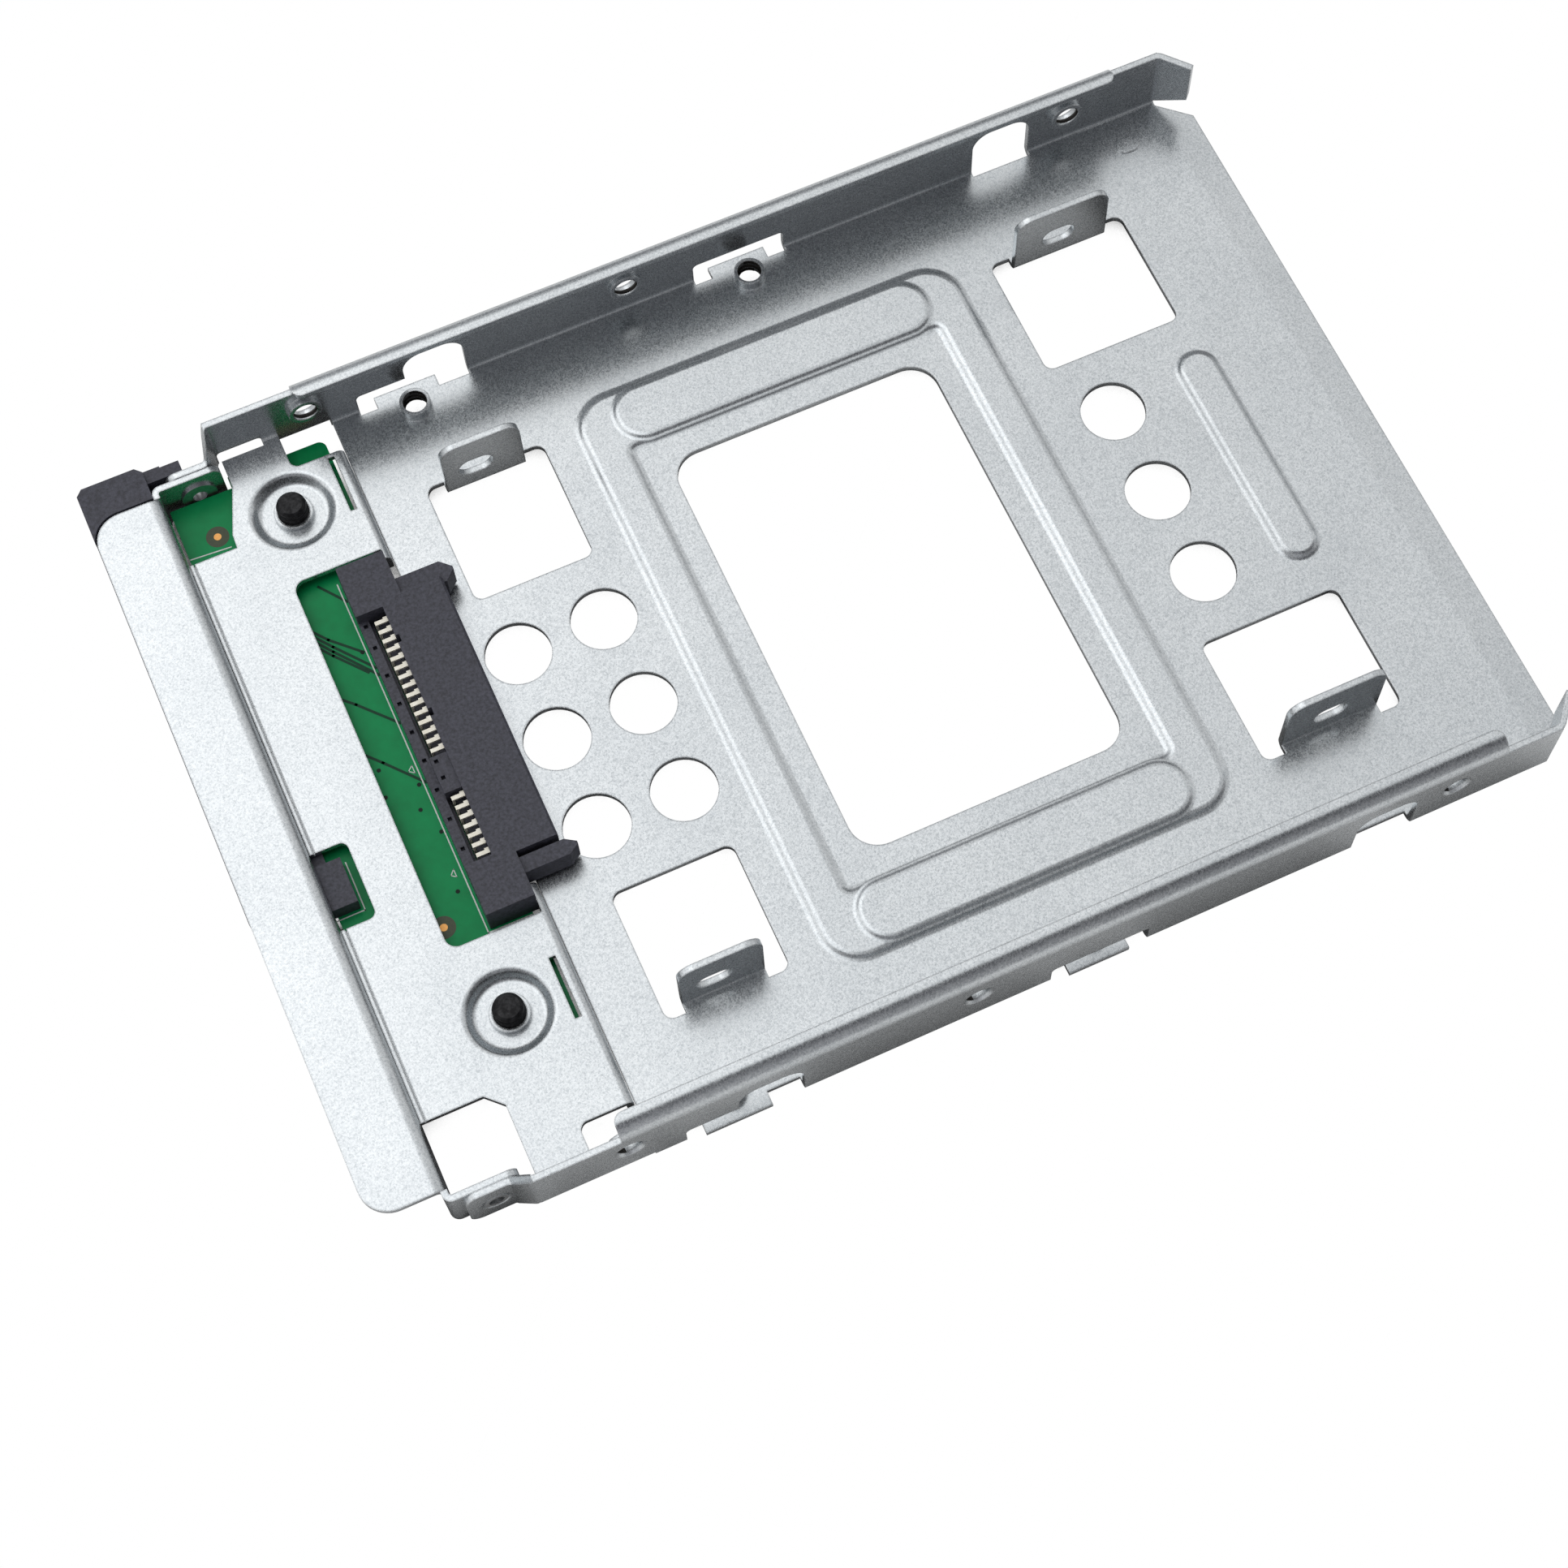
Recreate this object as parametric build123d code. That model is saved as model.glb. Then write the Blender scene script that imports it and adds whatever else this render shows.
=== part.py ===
from build123d import *
import os

# Drive bay adapter bracket: a folded sheet tray that carries a small drive in a large drive's bay.
# All lengths are in millimetres and all angles in degrees. Every section below is drawn on the
# tray's own datums: x from the large drive's connector face, y from the tray's centre line and
# z from the underside of the tray floor. The last section moves the whole onto its own frame.

# The folded tray
sheet = 0.8
tray_length = 147.0
tray_width = 101.6
lip_top = 12.0
lip_width = 2.7
lip_start = 27.7
lip_setback = 11.0
lip_corner = 1.2
far_wall_start = 16.5
near_wall_start = 17.5
wall_setback = 3.9
bare_wall_top = 10.2
front_wall_drop = 0.3
front_wall_low = 1.4
low_fold = 1.1
top_fold = 2.0

# The floor and its end strip
floor_start = 31.2
strip_droop = 0.3
corner_cut_x = 4.2
corner_cut_y = 3.5

# The raised front plate and its necks
plate_top = 2.8
plate_start = 8.85
seam_gap = 0.15
score_offset = 0.45
score_width = 0.18
score_depth = 0.5
plate_fold = 1.0
neck_end = 24.5
notch_y = 37.5
far_notch = ((14.8, notch_y), (14.9, 39.3), (17.1, 45.5))
near_notch = ((16.2, notch_y), (18.1, 39.4))
foot_slot_x = (16.8, 22.5)
foot_slot_top = 3.5
foot_slot_corner = 0.6
relief_setback = 5.2
relief_corner = 1.0

# Openings of the front plate
board_window_start = 19.1
board_window_low = -20.1
board_window_high = 30.2
window_corner = 1.4
nose_gap_low = -16.4
nose_gap_high = 28.9
peep_end = 13.2
peep_low = -12.9
peep_high = -2.9
peep_corner = 0.9
lance_width = 0.8
lance_length = 7.8
lance_offset = 1.4
far_lance_inset = 10.4
near_lance_inset = 21.3

# Screw dimples of the front plate, with their places in from the tray's outer faces
far_dimple_x = 22.6
far_dimple_inset = 11.4
near_dimple_x = 22.5
near_dimple_inset = 21.2
dimple_radius = 5.4
dimple_disc = 3.8
dimple_depth = 1.1
collar_radius = 2.35
collar_height = 0.9

# The stepped end tabs of the side walls
tab_step = 2.2
tab_step_start = 15.3
tab_start = 9.9
tab_top = 5.3
tab_drop = 2.4
tab_corner = 1.6
rivet_x = 13.2
rivet_z = 1.4

# The inward corner tabs at the open end
guard_length = 4.6
guard_angle = 49.0
guard_bend = 1.2
guard_root = 1.4
guard_tip = 4.9

# Large-drive fixing holes
front_hole_x = 28.5
middle_hole_x = 70.11
rear_hole_setback = 16.9
side_hole_z = 6.35
screw_bore = 1.5
boss_radius = 2.1
boss_depth = 0.8
hole_entry = 1.85
floor_hole_x = (41.28, 85.73)
floor_hole_inset = 3.17
bushing_height = 1.4
bushing_radius = 1.9

# Openings of the side walls
low_slots = ((34.8, 49.0), (79.2, 91.4))
low_slot_top = 4.0
low_slot_corner = 0.7
slot_bite = 0.65
arch_top = 8.1
arch_corner = 2.5
raised_arch_x = (41.2, 49.0)
rear_arch_setback = (29.6, 21.8)
floor_tabs = ((37.0, 45.0), (81.5, 89.0))
floor_tab_overhang = 0.2

# Small-drive tabs and the square openings they are bent from
drive_width = 70.0
drive_clearance = 0.2
drive_hole_rise = 3.0
front_tab_x = (40.5, 50.6)
rear_tab_setback = (30.8, 18.3)
drive_tab_top = 10.0
drive_tab_corner = 1.9
front_slot_x = 44.6
rear_slot_setback = 24.93
drive_slot_length = 4.4
drive_slot_width = 3.0
front_square_x = (38.15, 53.3)
rear_square_setback = (33.5, 15.4)
square_inner = 20.4
square_outer = 36.95
square_corner = 1.2
square_shift = -0.35
pattern_shift = -0.15

# The large window and the embossed frame round it, each with its start and its setback
window_start = 66.25
window_setback = 46.4
window_half = 28.05
window_round = 3.6
frame_start = 57.4
frame_setback = 37.7
frame_half = 40.2
frame_round = 5.2
panel_start = 63.2
panel_setback = 43.4
panel_half = 31.1
panel_round = 0.4
frame_rise = 0.4
pad_start = 62.2
pad_setback = 42.3
pad_inner = 31.35
pad_outer = 39.55
pad_rise = 0.35
pad_round = 3.9
fold_allowance = 0.15

# The soft folds of the embossed edges, as shares of the rise with their angles from upright
fold_steps = ((0.25, 76.0), (0.5, 62.0), (0.25, 76.0))
rib_steps = ((0.25, 65.0), (0.5, 45.0), (0.25, 65.0))

# Lightening holes and the stiffening rib
vent_radius = 4.0
front_vents_x = (40.1, 51.0)
rear_vents_setback = 28.7
vent_pitch = 12.0
vent_centre = -0.3
rib_setback = 16.65
rib_ends = (-16.0, 15.3)
rib_width = 5.7
rib_rise = 0.6
witness_setback = 9.8
witness_inset = 4.5
witness_length = 3.0
witness_width = 2.2
witness_rise = 0.2

# The front hood
hood_start = -0.1
hood_top = 5.3
hood_half = 46.2
hood_corner = 3.6
hood_fold = 1.4
web_face = 8.8
ear_end = 16.5
ear_top = 5.2
ear_corner = 1.2
web_gap_low = -10.6
web_gap_high = 46.6
web_gap_top = 3.6

# The circuit board
board_thickness = 1.6
board_start = 9.1
board_end = 29.4
board_near = -36.6
board_clearance = 0.25
board_far_inset = 2.8
board_step_x = 17.0
board_corner = 1.0
board_screw_clearance = 0.15

# The drive receptacle on the board
socket_x = (24.3, 30.2)
socket_y = (-19.0, 28.5)
socket_top = 5.6
nose_end = 35.3
nose_y = (-13.3, 22.5)
nose_bottom = 1.6
socket_edge = 0.3
arm_far_y = (21.9, 24.7)
arm_near_y = (-15.9, -13.9)
arm_end = 37.0
arm_point = 1.3
arm_tip = 0.3
arm_top = 5.0
pocket_x = (25.5, 27.6)
power_pocket_y = (1.6, 21.6)
signal_pocket_y = (-12.5, -3.2)
pocket_floor = 2.4
ledge_top = 3.7
bridge_top = 5.1
pit_size = 0.5
pit_depth = 0.6
pit_x = 24.95
pit_rows = (20.9, 17.9, 14.0, 10.05, 6.1, 2.2, -1.8, -5.75, -9.75)
bridge_pit_x = 26.1
bridge_pit_rows = (0.9, -1.3)
latch_rows = (17.0, 6.75)
latch_width = 1.0
latch_depth = 0.45
slot_depth = 4.6
slot_height = 1.3
pin_pitch = 1.27
pin_start = 26.0
pin_width = 0.5
pin_head = 0.7
pin_head_x = 27.1
pin_thickness = 0.3
leg_clearance = 0.1
power_count = 15
signal_count = 7
power_first_y = 20.35
signal_first_y = -3.9
pin_top = 4.6

# The host plug under the hood
plug_overhang = 0.2
plug_end = 8.0
plug_near = -9.0
plug_far_overhang = 0.2
plug_z = (-1.6, 4.4)
plug_edge = 0.4
end_block_top = 5.5
end_block_edge = 0.8
mouth_y = (0.6, 41.0)
mouth_depth = 6.0
mouth_wall = 1.0
tongue_thickness = 1.3
tongue_setback = 0.6
key_width = 1.3
plug_power_first_y = 39.0
plug_signal_first_y = 9.6
tongue_margin = 1.0
plug_pin_width = 0.62
rail_end = 10.2
rail_height = 0.9
foot_end = 11.9
foot_y = (-10.5, -4.7)
foot_top = 3.3
wing_steps = ((8.0, 10.05, 0.3), (10.05, 12.4, 0.5))
wing_gap = 0.15
wing_z = (-0.6, 4.9)

# Screws and rivets
screw_radius = 1.75
screw_tip = 4.6
screw_head_radius = 3.2
screw_head_height = 1.3
screw_point = 0.35
socket_key = 0.7
rivet_radius = 1.4
rivet_head = 2.2
rivet_lip = 0.35
rivet_bore = 0.9

# Values that follow from the ones above
half = tray_width / 2
inner_face = half - sheet
lip_end = tray_length - lip_setback
wall_end = tray_length - wall_setback
front_wall_top = bare_wall_top - front_wall_drop
relief_y = inner_face - relief_setback
dimple_far = (far_dimple_x, half - far_dimple_inset)
dimple_near = (near_dimple_x, near_dimple_inset - half)
floor_tab_reach = half + floor_tab_overhang
plate_low = plate_top - sheet
plate_end = floor_start - seam_gap
drive_seat = sheet + frame_rise + pad_rise
drive_slot_z = drive_seat + drive_hole_rise
tab_outer = half - tab_step
tab_inner = tab_outer - sheet
disc_top = plate_top - dimple_depth
board_top = disc_top - sheet
board_low = board_top - board_thickness
hood_low = hood_top - sheet
web_back = web_face - sheet
ear_inner = tab_inner - sheet
board_step_y = ear_inner - rivet_lip - board_clearance
past = 5.0


def block(x0, x1, y0, y1, z0, z1):
    """A plain block between two corners."""
    place = Pos((x0 + x1) / 2, (y0 + y1) / 2, (z0 + z1) / 2)
    return place * Box(x1 - x0, y1 - y0, z1 - z0)


def prism(points, z0, z1):
    """A flat outline in plan, raised from z0 to z1."""
    face = make_face(Polyline(*points, close=True))
    return extrude(Pos(0, 0, z0) * face, z1 - z0)


def side_prism(points, y0, y1):
    """An outline drawn in x and z, running across the tray from y0 to y1."""
    face = make_face(Polyline(*points, close=True))
    return extrude(Plane.XZ.offset(-y1) * face, y1 - y0)


def rounded_plan(x0, x1, y0, y1, radius):
    """A rectangle in plan with equal corner rounds."""
    return Pos((x0 + x1) / 2, (y0 + y1) / 2) * RectangleRounded(x1 - x0, y1 - y0, radius)


def long_edges(body, level):
    """The edges along x at the lowest (0) or highest (-1) level of a folded channel."""
    return body.edges().filter_by(Axis.X).group_by(Axis.Z)[level]


def top_back_edge(body):
    """The highest edge across the tray at the end of a block that faces the open end."""
    return body.edges().filter_by(Axis.Y).group_by(Axis.Z)[-1].group_by(Axis.X)[-1]


def both_sides(piece):
    """A piece drawn at the far wall together with its mirror image at the near wall."""
    return [piece, mirror(piece, about=Plane.XZ)]


def channel(x0, x1, bottom, top, lipped):
    """The sheet folded up into two side walls, with or without inward lips."""
    outer = block(x0, x1, -half, half, bottom, top)
    outer = fillet(long_edges(outer, 0), low_fold)
    inner_top = top - sheet if lipped else top + past
    inner = block(x0 - past, x1 + past, -inner_face, inner_face, bottom + sheet, inner_top)
    inner = fillet(long_edges(inner, 0), low_fold - sheet)
    if lipped:
        outer = fillet(long_edges(outer, -1), top_fold)
        inner = fillet(long_edges(inner, -1), top_fold - sheet)
        mouth = half - lip_width
        inner += block(x0 - past, x1 + past, -mouth, mouth, top - 2 * sheet, top + past)
    return outer - inner


def main_channel():
    """Floor, side walls and lips from the front of the lips to the end of the walls."""
    body = channel(lip_start, lip_end, 0, lip_top, True)
    free_edge = half - lip_width
    corners = [
        edge
        for edge in body.edges().filter_by(Axis.Z)
        if abs(abs(edge.center().Y) - free_edge) < sheet / 4
    ]
    body = fillet(corners, lip_corner)
    body += channel(lip_end, wall_end, 0, bare_wall_top, False)
    body -= block(0, plate_end, -half - past, half + past, -past, plate_low)
    return body - block(0, floor_start, -inner_face, inner_face, -past, plate_low)


def end_strip():
    """The last strip of the floor, set down a little, with its corners cut off."""
    back = wall_end - sheet
    profile = [
        (back, 0),
        (wall_end, 0),
        (tray_length, -strip_droop),
        (tray_length, sheet - strip_droop),
        (wall_end, sheet),
        (back, sheet),
    ]
    side_y = half - low_fold
    strip = side_prism(profile, -side_y, side_y)
    for side in (1, -1):
        corner = [
            (tray_length - corner_cut_x, side * half),
            (tray_length - corner_cut_x, side * side_y),
            (tray_length, side * (side_y - corner_cut_y)),
            (tray_length + past, side * (side_y - corner_cut_y)),
            (tray_length + past, side * half),
        ]
        strip -= prism(corner, -past, past)
    return strip


def guard_tabs():
    """The wall ends turned inwards at the open end of the tray, cut off slantwise below."""
    bend = Vector(wall_end, half - sheet / 2)
    reach = Vector(guard_length, 0).rotate(Axis.Z, -guard_angle)
    line = FilletPolyline((wall_end - sheet, half - sheet / 2), bend, bend + reach, radius=guard_bend)
    guard = extrude(Pos(0, 0, guard_root) * trace(line, sheet), bare_wall_top - guard_root)
    tip_x = wall_end + reach.X + sheet
    slant = [(wall_end, 0), (tip_x, 0), (tip_x, guard_tip), (wall_end, guard_root)]
    guard -= side_prism(slant, 0, half + past)
    return both_sides(guard)


def front_plate():
    """The raised plate over the circuit board, with its two necks and the low walls beside it."""
    body = channel(plate_start, plate_end, plate_low, front_wall_top, False)
    for side, corners, start in ((1, far_notch, far_wall_start), (-1, near_notch, near_wall_start)):
        middle = side * inner_face
        body -= block(0, start, middle - past, middle + past, 0, lip_top)
        foot = block(start, floor_start, inner_face, half, front_wall_low, plate_top + low_fold)
        body += foot if side > 0 else mirror(foot, about=Plane.XZ)
        notch = [(0, notch_y), *corners, (corners[-1][0], inner_face), (0, inner_face)]
        body -= prism([(x, side * y) for x, y in notch], 0, plate_top + low_fold)
        relief = rounded_plan(neck_end, floor_start + past, relief_y, inner_face + past, relief_corner)
        relief = extrude(relief, plate_top + low_fold)
        relief -= block(0, tray_length, inner_face, half + 2 * past, -past, lip_top)
        body -= relief if side > 0 else mirror(relief, about=Plane.XZ)
    return body


def foot_slot():
    """The long slot through the foot of the far wall, beside the neck of the front plate."""
    slot = block(*foot_slot_x, inner_face - sheet, half + past, -past, foot_slot_top)
    return fillet(slot.edges().filter_by(Axis.Y).group_by(Axis.Z)[-1], foot_slot_corner)


def plate_foot():
    """The front plate's long edge, folded down to the floor beside the seam."""
    foot = block(plate_end - 2 * sheet, plate_end, -relief_y, relief_y, 0, plate_top)
    foot = fillet(top_back_edge(foot), plate_fold)
    hollow = block(plate_end - 3 * sheet, plate_end - sheet, -half, half, -past, plate_low)
    return foot - hollow


def plate_openings():
    """Everything cut through the front plate: windows, lanced slits and the scored line."""
    window = rounded_plan(board_window_start, plate_end - sheet, board_window_low,
                          board_window_high, window_corner)
    cuts = [extrude(window, plate_top + past)]
    cuts.append(block(board_window_start + 2 * window_corner, plate_end - sheet,
                      board_window_low, board_window_high, 0, plate_top + past))
    cuts.append(block(plate_end - 2 * sheet, floor_start - seam_gap / 2,
                      nose_gap_low, nose_gap_high, -past, plate_top + past))
    peep = rounded_plan(0, peep_end, peep_low, peep_high, peep_corner)
    cuts.append(extrude(peep, plate_top + past))
    lance_end = plate_end - lance_offset
    for centre in (half - far_lance_inset, near_lance_inset - half):
        cuts.append(block(lance_end - lance_width, lance_end, centre - lance_length / 2,
                          centre + lance_length / 2, 0, plate_top + past))
    score = plate_start + score_offset
    cuts.append(block(score, score + score_width, -notch_y - past, notch_y + past,
                      plate_top - score_depth, plate_top + past))
    return cuts


def cup(radius, disc):
    """A round cup as deep as the screw dimples, with a soft S-shaped wall."""
    wall = Spline((radius, dimple_depth), (disc, 0), tangents=((-1, 0), (-1, 0)))
    rest = Polyline((disc, 0), (0, 0), (0, dimple_depth), (radius, dimple_depth))
    return revolve(Plane.XZ * make_face([wall, rest]), Axis.Z)


def dimple(centre):
    """A round screw seat pressed down to the board: its underside, hollow, collar and bore."""
    x, y = centre
    collar = Cylinder(collar_radius, collar_height, align=(Align.CENTER, Align.CENTER, Align.MIN))
    bore = Cylinder(screw_radius + board_screw_clearance, 2 * past)
    return (
        Pos(x, y, board_top) * cup(dimple_radius + sheet / 2, dimple_disc + sheet / 2),
        Pos(x, y, disc_top) * cup(dimple_radius, dimple_disc),
        Pos(x, y, disc_top) * collar,
        Pos(x, y, 0) * bore,
    )


def stepped_tab(wall_start):
    """The far wall's end, stepped inwards at the connector end, to which the hood is riveted."""
    centre = half - sheet / 2
    line = FilletPolyline(
        (wall_start + 2 * sheet, centre),
        (wall_start, centre),
        (tab_step_start, centre - tab_step),
        (tab_start, centre - tab_step),
        radius=sheet,
    )
    step = extrude(Pos(0, 0, -tab_drop) * trace(line, sheet), lip_top + tab_drop)
    outline = Polyline(
        (tab_start, -tab_drop),
        (tab_step_start, -tab_drop),
        (wall_start, front_wall_low),
        (wall_start + 2 * sheet, front_wall_low),
        (wall_start + 2 * sheet, front_wall_top),
        (wall_start, front_wall_top),
        (tab_step_start, tab_top),
        (tab_start, tab_top),
        close=True,
    )
    face = make_face(outline)
    face = fillet(face.vertices().group_by(Axis.X)[0], tab_corner)
    step &= extrude(Plane.XZ.offset(-half - past) * face, 2 * past)
    turn = Rot(90, 0, 0)
    step -= Pos(rivet_x, half - tab_step, rivet_z) * turn * Cone(rivet_head, rivet_radius, 2 * rivet_lip)
    return step - Pos(rivet_x, half, rivet_z) * turn * Cylinder(rivet_radius, 2 * past)


def wall_openings():
    """Slots and arches punched through the two side walls and the low fold."""
    cuts = []
    rear_arch_x = [tray_length - setback for setback in rear_arch_setback]
    openings = [(start, end, low_slot_top, low_slot_corner) for start, end in low_slots]
    openings += [(start, end, arch_top, arch_corner) for start, end in (raised_arch_x, rear_arch_x)]
    for start, end, top, corner in openings:
        cut = block(start, end, inner_face - slot_bite, half + past, -past, top)
        cuts += both_sides(fillet(cut.edges().filter_by(Axis.Y).group_by(Axis.Z)[-1], corner))
    return cuts


def floor_ears():
    """The floor tabs that reach out through the low wall slots and carry the bottom bushings."""
    tabs = []
    for start, end in floor_tabs:
        tab = block(start, end, inner_face - 3 * sheet, floor_tab_reach, 0, sheet)
        tabs += both_sides(tab)
    return tabs


def side_bosses():
    """The drawn collars behind the side screw holes, and the holes themselves."""
    bosses = []
    bores = []
    for x in (front_hole_x, middle_hole_x, tray_length - rear_hole_setback):
        turn = Rot(90, 0, 0)
        boss = Pos(x, inner_face - boss_depth / 2, side_hole_z) * turn * Cylinder(boss_radius, boss_depth)
        bore = Pos(x, inner_face, side_hole_z) * turn * Cylinder(screw_bore, 2 * past)
        entry_depth = hole_entry - screw_bore
        entry = Cone(hole_entry, screw_bore, entry_depth)
        entry = Pos(x, half - entry_depth / 2, side_hole_z) * turn * entry
        bosses += both_sides(boss)
        bores += both_sides(bore)
        bores += both_sides(entry)
    return bosses, bores


def floor_bushings():
    """The drawn threaded bushings of the four bottom screw holes."""
    bushings = []
    bores = []
    for x in floor_hole_x:
        for side in (1, -1):
            place = Pos(x, side * (half - floor_hole_inset), 0)
            height = sheet + bushing_height
            bushings.append(place * Cylinder(bushing_radius, height,
                                             align=(Align.CENTER, Align.CENTER, Align.MIN)))
            bores.append(place * Cylinder(screw_bore, 2 * past))
    return bushings, bores


def square_openings():
    """The four square openings left where the small-drive tabs were bent up."""
    cuts = []
    rear_square_x = [tray_length - setback for setback in rear_square_setback]
    for start, end in (front_square_x, rear_square_x):
        for side in (1, -1):
            low = side * square_inner + square_shift
            high = side * square_outer + square_shift
            plan = rounded_plan(start, end, min(low, high), max(low, high), square_corner)
            cuts.append(extrude(Pos(0, 0, -past) * plan, 2 * past))
    return cuts


def drive_tab(start, end, slot_x):
    """One upright tab with its slot, bent up from the floor beside the small drive."""
    face = drive_width / 2 + drive_clearance
    upright = block(start, end, face, face + sheet, 0, drive_tab_top)
    corners = upright.edges().filter_by(Axis.Y).group_by(Axis.Z)[-1]
    upright = fillet(corners, drive_tab_corner)
    root = block(start, end, face, square_outer + 2 * sheet, 0, sheet)
    tab = upright + root
    heel = tab.edges().filter_by(Axis.X).group_by(Axis.Z)[0].group_by(Axis.Y)[0]
    tab = fillet(heel, low_fold)
    slot = SlotOverall(drive_slot_length, drive_slot_width)
    return tab - extrude(Plane.XZ.offset(-face - past) * Pos(slot_x, drive_slot_z) * slot, 2 * past)


def drive_tabs():
    """The four small-drive tabs."""
    tabs = []
    rear_tab_x = [tray_length - setback for setback in rear_tab_setback]
    for (start, end), slot_x in ((front_tab_x, front_slot_x), (rear_tab_x, tray_length - rear_slot_setback)):
        tabs += [Pos(0, pattern_shift) * tab for tab in both_sides(drive_tab(start, end, slot_x))]
    return tabs


def soft_step(plan, base, rise, side, steps=fold_steps):
    """A raised (side 1) or sunk (side -1) area whose edge follows the soft fold of the sheet."""
    body = []
    for share, angle in steps:
        layer = extrude(Pos(0, 0, base) * plan, rise * share, taper=side * angle)
        plan = Pos(0, 0, -base - rise * share) * layer.faces().sort_by(Axis.Z)[-1]
        base += rise * share
        body.append(layer)
    return body


def embossed(plan, base, rise, steps=fold_steps):
    """A raised area of the sheet: the added top and the hollow that follows it underneath."""
    top = soft_step(plan, base, rise, 1, steps)
    under = soft_step(offset(plan, -fold_allowance), base - sheet, rise, 1, steps)
    return top, under


def frame_emboss():
    """The raised frame round the window, with its two higher pads under the drive."""
    shift = Pos(0, pattern_shift)
    frame_end = tray_length - frame_setback
    outer = shift * rounded_plan(frame_start, frame_end, -frame_half, frame_half, frame_round)
    panel_end = tray_length - panel_setback
    panel = shift * rounded_plan(panel_start, panel_end, -panel_half, panel_half, panel_round)
    layers, under_layers = embossed(outer, sheet, frame_rise)
    top = Part() + layers - soft_step(panel, sheet, frame_rise, -1)
    under = Part() + under_layers - soft_step(offset(panel, fold_allowance), 0, frame_rise, -1)
    pads = []
    pad_hollows = []
    for side in (1, -1):
        low = side * pad_inner + pattern_shift
        high = side * pad_outer + pattern_shift
        plan = rounded_plan(pad_start, tray_length - pad_setback, min(low, high), max(low, high), pad_round)
        pad, hollow = embossed(plan, sheet + frame_rise, pad_rise)
        pads += [extrude(Pos(0, 0, sheet) * plan, frame_rise), *pad]
        pad_hollows += [extrude(offset(plan, -fold_allowance), frame_rise), *hollow]
    return top, under, pads, pad_hollows


def floor_details():
    """Window, lightening holes, the rib and the small witness mark of the floor."""
    cuts = []
    window_end = tray_length - window_setback
    window = rounded_plan(window_start, window_end, -window_half, window_half, window_round)
    cuts.append(extrude(Pos(0, pattern_shift, -past) * window, 2 * past))
    for x in (*front_vents_x, tray_length - rear_vents_setback):
        for step in (-1, 0, 1):
            cuts.append(Pos(x, vent_centre + step * vent_pitch, 0) * Cylinder(vent_radius, 2 * past))
    low, high = rib_ends
    rib_x = tray_length - rib_setback
    rib = Pos(rib_x, (low + high) / 2) * Rot(0, 0, 90) * SlotOverall(high - low, rib_width)
    rib_top, rib_under = embossed(rib, sheet, rib_rise, rib_steps)
    mark = SlotOverall(witness_length, witness_width)
    mark = Pos(tray_length - witness_setback, inner_face - witness_inset, sheet) * mark
    adds = [*rib_top, extrude(mark, witness_rise)]
    return adds, cuts, rib_under


def make_tray():
    """The whole folded sheet."""
    body = main_channel()
    top, under, pads, pad_hollows = frame_emboss()
    adds, cuts, rib_under = floor_details()
    body += top
    body += pads
    body += adds
    body -= under
    body -= pad_hollows
    body -= rib_under
    body -= cuts
    body -= square_openings()
    body -= wall_openings()
    body += floor_ears()
    body += drive_tabs()
    body += end_strip()
    body += guard_tabs()
    plate = front_plate()
    plate -= block(plate_end - sheet, tray_length, -relief_y, relief_y, -past, plate_top + past)
    plate += plate_foot()
    plate -= plate_openings()
    body += plate
    body += [stepped_tab(far_wall_start), mirror(stepped_tab(near_wall_start), about=Plane.XZ)]
    body -= foot_slot()
    seats = [dimple(dimple_far), dimple(dimple_near)]
    body += [seat[0] for seat in seats]
    body -= [seat[1] for seat in seats]
    body += [seat[2] for seat in seats]
    body -= [seat[3] for seat in seats]
    bosses, side_bores = side_bosses()
    bushings, floor_bores = floor_bushings()
    body += bosses
    body += bushings
    body -= side_bores
    body -= floor_bores
    return body


def folded_flange():
    """The hood's flange with its long fold down into the web."""
    low = hood_top - hood_fold - sheet
    flange = block(hood_start, web_face, -hood_half, hood_half, low, hood_top)
    flange = fillet(flange.edges().filter_by(Axis.Z).group_by(Axis.X)[0], hood_corner)
    flange = fillet(top_back_edge(flange), hood_fold)
    hollow = block(hood_start - past, web_back, -half, half, low - past, hood_low)
    hollow = fillet(top_back_edge(hollow), hood_fold - sheet)
    return flange - hollow


def make_hood():
    """The front sheet: a flange over the plug, its web and the two riveted ears."""
    outer = block(web_back, ear_end, -tab_inner, tab_inner, -tab_drop, ear_top)
    outer = fillet(outer.edges().filter_by(Axis.Z).group_by(Axis.X)[0], low_fold)
    outer = fillet(outer.edges().filter_by(Axis.Y).group_by(Axis.X)[-1], ear_corner)
    inner = block(web_face, ear_end + past, -ear_inner, ear_inner, -tab_drop - past, ear_top + past)
    inner = fillet(inner.edges().filter_by(Axis.Z).group_by(Axis.X)[0], low_fold - sheet)
    web = outer - inner
    web -= block(web_back - past, web_face, -hood_half, hood_half, hood_top - hood_fold, ear_top + past)
    body = web + folded_flange()
    body -= block(web_back - past, web_face + sheet / 4, web_gap_low, web_gap_high,
                  -tab_drop - past, web_gap_top)
    for side in (1, -1):
        body -= Pos(rivet_x, side * ear_inner, rivet_z) * Rot(90, 0, 0) * Cylinder(rivet_radius, 2 * past)
    return body


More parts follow.
